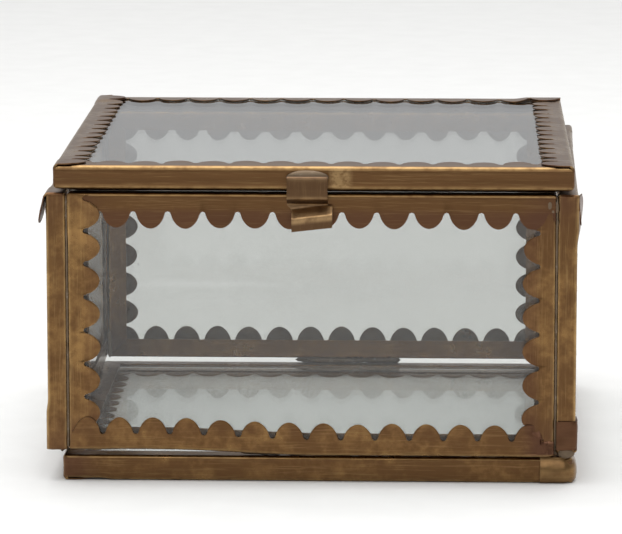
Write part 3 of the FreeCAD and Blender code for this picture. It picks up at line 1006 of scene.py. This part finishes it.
def make_clasp():
    """The path swept across the clasp's width, its tab skewed and tilted."""
    across = np.linspace(-1, 1, 13)
    travelled = np.cumsum([0] + [(b - a).length for a, b in zip(path, path[1:])])
    points, map_x, map_y, marks = [], [], [], []
    waist_z = spring_high.z - WAIST_DROP
    for row, (spot, gone) in enumerate(zip(path, travelled)):
        low_part = soft_step((waist_z - spot.y) / (0.7 * MM)) if gone > 5 * MM else 0.0
        skew = TAB_SKEW * low_part
        tilt = TAB_TILT * low_part
        line = []
        for share in across:
            x = share * clasp_width / 2
            bow = 0.05 * MM * noise.noise(Vector((share * 1.6, gone / (3 * MM), 4.2)))
            line.append((clasp_middle + x + skew + CLASP_LEFT, spot.x + bow, spot.y + math.tan(tilt) * x))
        points.append(line)
        map_x.append([gone * 100 + 2.0] * len(across))
        map_y.append(list(across * clasp_width * 50))
        marks.append([clasp_marks(row, spot, gone, low_part)] * len(across))
    mesh = mesh_from_grid("clasp", np.array(points), np.array(map_x), np.array(map_y), np.array(marks))
    return sheet_piece("clasp_bent_strip", mesh, "clasp_brass", thickness=CLASP_SHEET, bevel=0.09 * MM)


clasp = make_clasp()
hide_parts("clasp_foot", "clasp_spring")
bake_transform(clasp)
print("clasp:", len(clasp.data.polygons), "faces")

# %% [markdown]
# ## Solder pads and beads
# The measured model has plain blocks where the solder is. A real pad is a lump that
# has run out and frozen, so each block is swapped for a rounded lump of the same
# size: a ball pressed towards the shape of the block and roughened by noise.

# %% Solder lumps
def loose_parts(node):
    """Low and high corner of each separate block in a measured node."""
    shape = bmesh.new()
    shape.from_mesh(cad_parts[node].data)
    bmesh.ops.remove_doubles(shape, verts=shape.verts, dist=1e-6)
    left, found = set(shape.verts), []
    while left:
        todo, group = [left.pop()], []
        while todo:
            vertex = todo.pop()
            group.append(vertex.co.copy())
            for edge in vertex.link_edges:
                other = edge.other_vert(vertex)
                if other in left:
                    left.remove(other)
                    todo.append(other)
        found.append((Vector(map(min, zip(*group))), Vector(map(max, zip(*group)))))
    shape.free()
    return sorted(found, key=lambda pair: tuple(round(value, 5) for value in pair[0]))


def add_lump(shape, low, high, square, rough, seed, levels):
    """Adds one lump that fills the block from low to high: square 2 is a ball, more is boxier."""
    made = bmesh.ops.create_icosphere(shape, subdivisions=levels, radius=1.0)["verts"]
    middle, half = (low + high) / 2, (high - low) / 2
    for vertex in made:
        way = vertex.co.normalized()
        boxy = way / sum(abs(part) ** square for part in way) ** (1 / square)
        spot = Vector((boxy.x * half.x, boxy.y * half.y, boxy.z * half.z)) + middle
        vertex.co = spot + way * noise.noise(spot / (1.7 * MM) + Vector((seed, 0, 0))) * rough


def solder_piece(name, shape, body):
    """Turns a finished shape into a smooth piece of solder."""
    mesh = bpy.data.meshes.new(name)
    shape.to_mesh(mesh)
    shape.free()
    mesh.polygons.foreach_set("use_smooth", [True] * len(mesh.polygons))
    mesh.materials.append(FINISH["tin_solder"])
    piece = bpy.data.objects.new(name, mesh)
    bpy.context.scene.collection.objects.link(piece)
    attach(piece, body)
    return piece


def lump_piece(name, blocks, body, square=4.0, rough=0.16 * MM, levels=4):
    """One piece with a lump for each block."""
    shape = bmesh.new()
    for number, (low, high) in enumerate(blocks):
        add_lump(shape, low, high, square, rough, number + 3.0, levels)
    return solder_piece(name, shape, body)


pads = lump_piece("base_solder_pads", loose_parts("base_solder"), "box")
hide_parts("base_solder")
beads = lump_piece("inside_corner_solder", loose_parts("corner_solder"), "box", square=3.0, levels=3)
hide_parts("corner_solder")
print("solder pads:", len(loose_parts("base_solder")), "beads:", len(loose_parts("corner_solder")))

# %% [markdown]
# ## Corner wraps
# Two corners at the right front were patched when the box was put together: a scrap
# of sheet is wrapped round the base's corner and another round the foot of the right
# wall. A wrap is a surface whose columns follow the corner in plan and whose rows go
# from its top edge to its bottom edge, beaten a little uneven by noise.

# %% Wrapped corner
def wrapped_corner(name, plan, rows, seed, marks, beaten=0.16 * MM):
    """A scrap of sheet round a corner. plan: (x, y, out x, out y); rows: (out, z)."""
    points, map_x, map_y, colour = [], [], [], []
    gone = np.cumsum([0] + [math.dist(a[:2], b[:2]) for a, b in zip(plan, plan[1:])])
    for row, (out, z) in enumerate(rows):
        line = []
        for (x, y, nx, ny), far in zip(plan, gone):
            beat = beaten * (0.3 + noise.noise(Vector((far / (2.5 * MM), z / (2.2 * MM), seed))))
            line.append((x + nx * (out + beat), y + ny * (out + beat), z))
        points.append(line)
        map_x.append(gone * 100 + seed)
        map_y.append([row * 0.12] * len(plan))
        colour.append([marks] * len(plan))
    mesh = mesh_from_grid(name, np.array(points), np.array(map_x), np.array(map_y), np.array(colour))
    piece = sheet_piece(name, mesh, "antique_brass")
    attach(piece, "box")
    return piece


def corner_plan(corner_x, corner_y, front_run, side_run, radius):
    """Along the front to the right-hand corner, round it and back along the side."""
    plan = [(corner_x - front_run + (front_run - radius) * t, corner_y, 0, -1)
            for t in np.linspace(0, 1, 12)]
    for step in range(1, 9):
        turn = math.pi / 2 * step / 9
        plan.append((corner_x - radius + radius * math.sin(turn), corner_y + radius - radius * math.cos(turn),
                     math.sin(turn), -math.cos(turn)))
    plan += [(corner_x, corner_y + radius + (side_run - radius) * t, 1, 0) for t in np.linspace(0, 1, 10)]
    return plan


def wrap_rows(bottom, top, under, over):
    """From the lip on top, down the outside, to the lip underneath."""
    tall = top - bottom
    rows = [(-over, top + 0.33 * MM), (-0.5 * over, top + 0.33 * MM), (-0.10 * MM, top + 0.16 * MM),
            (0.24 * MM, top - 0.25 * MM), (0.36 * MM, top - 0.8 * MM)]
    rows += [(0.38 * MM, top - 0.8 * MM - (tall - 1.6 * MM) * t) for t in (0.25, 0.5, 0.75, 1.0)]
    rows += [(0.22 * MM, bottom + 0.30 * MM), (-0.10 * MM, bottom + 0.04 * MM), (-under, bottom + 0.03 * MM)]
    return rows


def bulged(rows, bottom, top):
    """The same rows, swollen low down and drawn in at the top, as a beaten cap is."""
    shaped = []
    for out, z in rows:
        sunk = min(1.0, max(0.0, (top - z) / (top - bottom)))
        swell = 0.50 * MM * math.sin(math.pi * sunk ** 1.3)
        drawn_in = 0.45 * MM * max(0.0, 1 - (top - z) / (2.0 * MM)) * (out > 0)
        shaped.append((out + swell - drawn_in, z))
    return shaped


# %% The two wraps
base_low, base_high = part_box("base_front_strip")
base_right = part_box("base_right_strip")[1].x
base_cap = wrapped_corner("base_corner_wrap",
                          corner_plan(base_right, base_low.y, 7.8 * MM, 7.0 * MM, 2.9 * MM),
                          bulged(wrap_rows(base_low.z, base_high.z, 1.2 * MM, 1.5 * MM),
                                 base_low.z, base_high.z),
                          3.1, (0.25, 0.10, 0.15, 0.1))
wall_low, wall_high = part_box("right_front_strip")
WRAP_TOP, WRAP_TALL = 7.6 * MM, 6.6 * MM      # above the wall's foot
foot_rows = [(0.33 * MM, wall_low.z + WRAP_TOP - WRAP_TALL * t) for t in (0.0, 0.2, 0.4, 0.6, 0.8, 1.0)]
foot_rows += [(0.20 * MM, wall_low.z + 0.75 * MM), (-0.15 * MM, wall_low.z + 0.70 * MM)]
foot_cap = wrapped_corner("wall_foot_wrap",
                          corner_plan(wall_high.x, wall_low.y, 4.5 * MM, 6.0 * MM, 0.8 * MM),
                          foot_rows, 8.6, (0.0, 0.75, 0.0, 1.0), 0.34 * MM)
print("corner wraps:", len(base_cap.data.polygons) + len(foot_cap.data.polygons), "faces")

# %% [markdown]
# ## Runs and blobs of solder
# Where two panels meet, solder was drawn along the seam with the iron and froze as a
# lumpy bar. Under the walls it joins the base along the sides and for a stretch at
# the front and the back, and open lines of light stay between. A bar is a row of
# rings whose size swells and shrinks by noise. A few blobs lie where the iron was
# lifted, and one fills the root of the clasp.

# %% Run of solder
def solder_run(name, start, end, across, depth, body, seed):
    """A lumpy bar of solder from start to end, across wide and depth deep, with round ends."""
    start, end = Vector(start), Vector(end)
    way = (end - start).normalized()
    side = Z if abs(way.z) < 0.5 else X
    deep = way.cross(side)
    rings, around = max(8, round((end - start).length / (0.8 * MM))), 14
    shape = bmesh.new()
    grid = []
    for ring in range(rings + 1):
        t = ring / rings
        swell = 0.80 + 0.45 * noise.noise(Vector((t * rings * 0.34, seed, 2.0)))
        swell *= math.sqrt(max(0.0025, 1 - abs(2 * t - 1) ** 40))
        centre = start.lerp(end, t)
        grid.append([shape.verts.new(centre + side * math.cos(turn) * across / 2 * swell
                                     + deep * math.sin(turn) * depth / 2 * swell)
                     for turn in [2 * math.pi * k / around for k in range(around)]])
    for one, other in zip(grid, grid[1:]):
        for k in range(around):
            n = (k + 1) % around
            shape.faces.new((one[k], one[n], other[n], other[k]))
    shape.faces.new(grid[0][::-1])
    shape.faces.new(grid[-1])
    bmesh.ops.recalc_face_normals(shape, faces=shape.faces)
    return solder_piece(name, shape, body)


# %% Upright seams
back_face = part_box("back_bottom_strip")[1].y
front_low, front_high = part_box("front_right_strip")
seam = front_high.x + 0.07 * MM
for side, side_name in ((-1, "left"), (1, "right")):
    for face, inward, face_name in ((front_face, 1, "front"), (back_face, -1, "back")):
        place = (side * seam, face + inward * 0.34 * MM)
        solder_run(f"{face_name}_{side_name}_seam_solder", (*place, front_low.z + 0.3 * MM),
                   (*place, front_high.z - 0.3 * MM), 0.72 * MM, 0.56 * MM, "box",
                   side * 3.0 + inward)
print("upright seams at x =", round(seam / MM, 2), "mm, left and right")

# %% Seams above the base
gap_low, gap_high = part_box("base_solder")
gap_middle = (gap_low.z + gap_high.z) / 2
front_run_y = base_low.y + 1.5 * MM
back_run_y = back_face - 2.6 * MM
SIDE_RUN_X = 58.6 * MM
solder_run("base_front_seam_solder", (-17.0 * MM, front_run_y, gap_middle),
           (53.5 * MM, front_run_y, gap_middle), 1.62 * MM, 1.3 * MM, "box", 12.0)
for side, side_name in ((-1, "left"), (1, "right")):
    solder_run(f"base_{side_name}_seam_solder", (side * SIDE_RUN_X, -56.5 * MM, gap_middle),
               (side * SIDE_RUN_X, 57.5 * MM, gap_middle), 1.62 * MM, 1.3 * MM, "box", side * 5.0)
solder_run("base_back_seam_solder", (-8.0 * MM, back_run_y, gap_middle),
           (19.5 * MM, back_run_y, gap_middle), 2.1 * MM, 1.7 * MM, "box", 17.0)
print("seams above the base at z =", round(gap_middle / MM, 2), "mm")

# %% Blobs of solder
BLOBS = [  # middle, then half its width, depth and height in mm
    (59.4 * MM, front_face + 0.9 * MM, 7.6 * MM, 2.0, 1.35, 1.45),        # under the foot wrap
    (seam - 1.7 * MM, front_face - 0.36 * MM, 65.9 * MM, 0.55, 0.16, 0.9),    # at the top right
    (seam - 1.0 * MM, front_face - 0.34 * MM, 64.4 * MM, 0.4, 0.14, 0.45),
    (seam - 0.1 * MM, front_face + 0.05 * MM, 65.4 * MM, 0.4, 0.30, 1.3),
    (seam + 0.1 * MM, front_face + 0.05 * MM, 62.2 * MM, 0.3, 0.25, 0.8),
]
blocks = []
for x, y, z, wide, deep, tall in BLOBS:
    middle, half = Vector((x, y, z)), Vector((wide, deep, tall)) * MM
    blocks.append((middle - half, middle + half))
lump_piece("corner_solder_blobs", blocks, "box", square=2.3, rough=0.22 * MM)
root = Vector((clasp_middle + CLASP_LEFT, foot_low.y + 0.45 * MM, spring_high.z - 1.65 * MM))
lump_piece("clasp_root_solder",
           [(root - Vector((4.9, 1.1, 1.55)) * MM, root + Vector((4.9, 1.1, 1.75)) * MM)],
           "lid", square=2.0, rough=0.10 * MM)
print("blobs:", len(BLOBS) + 1)
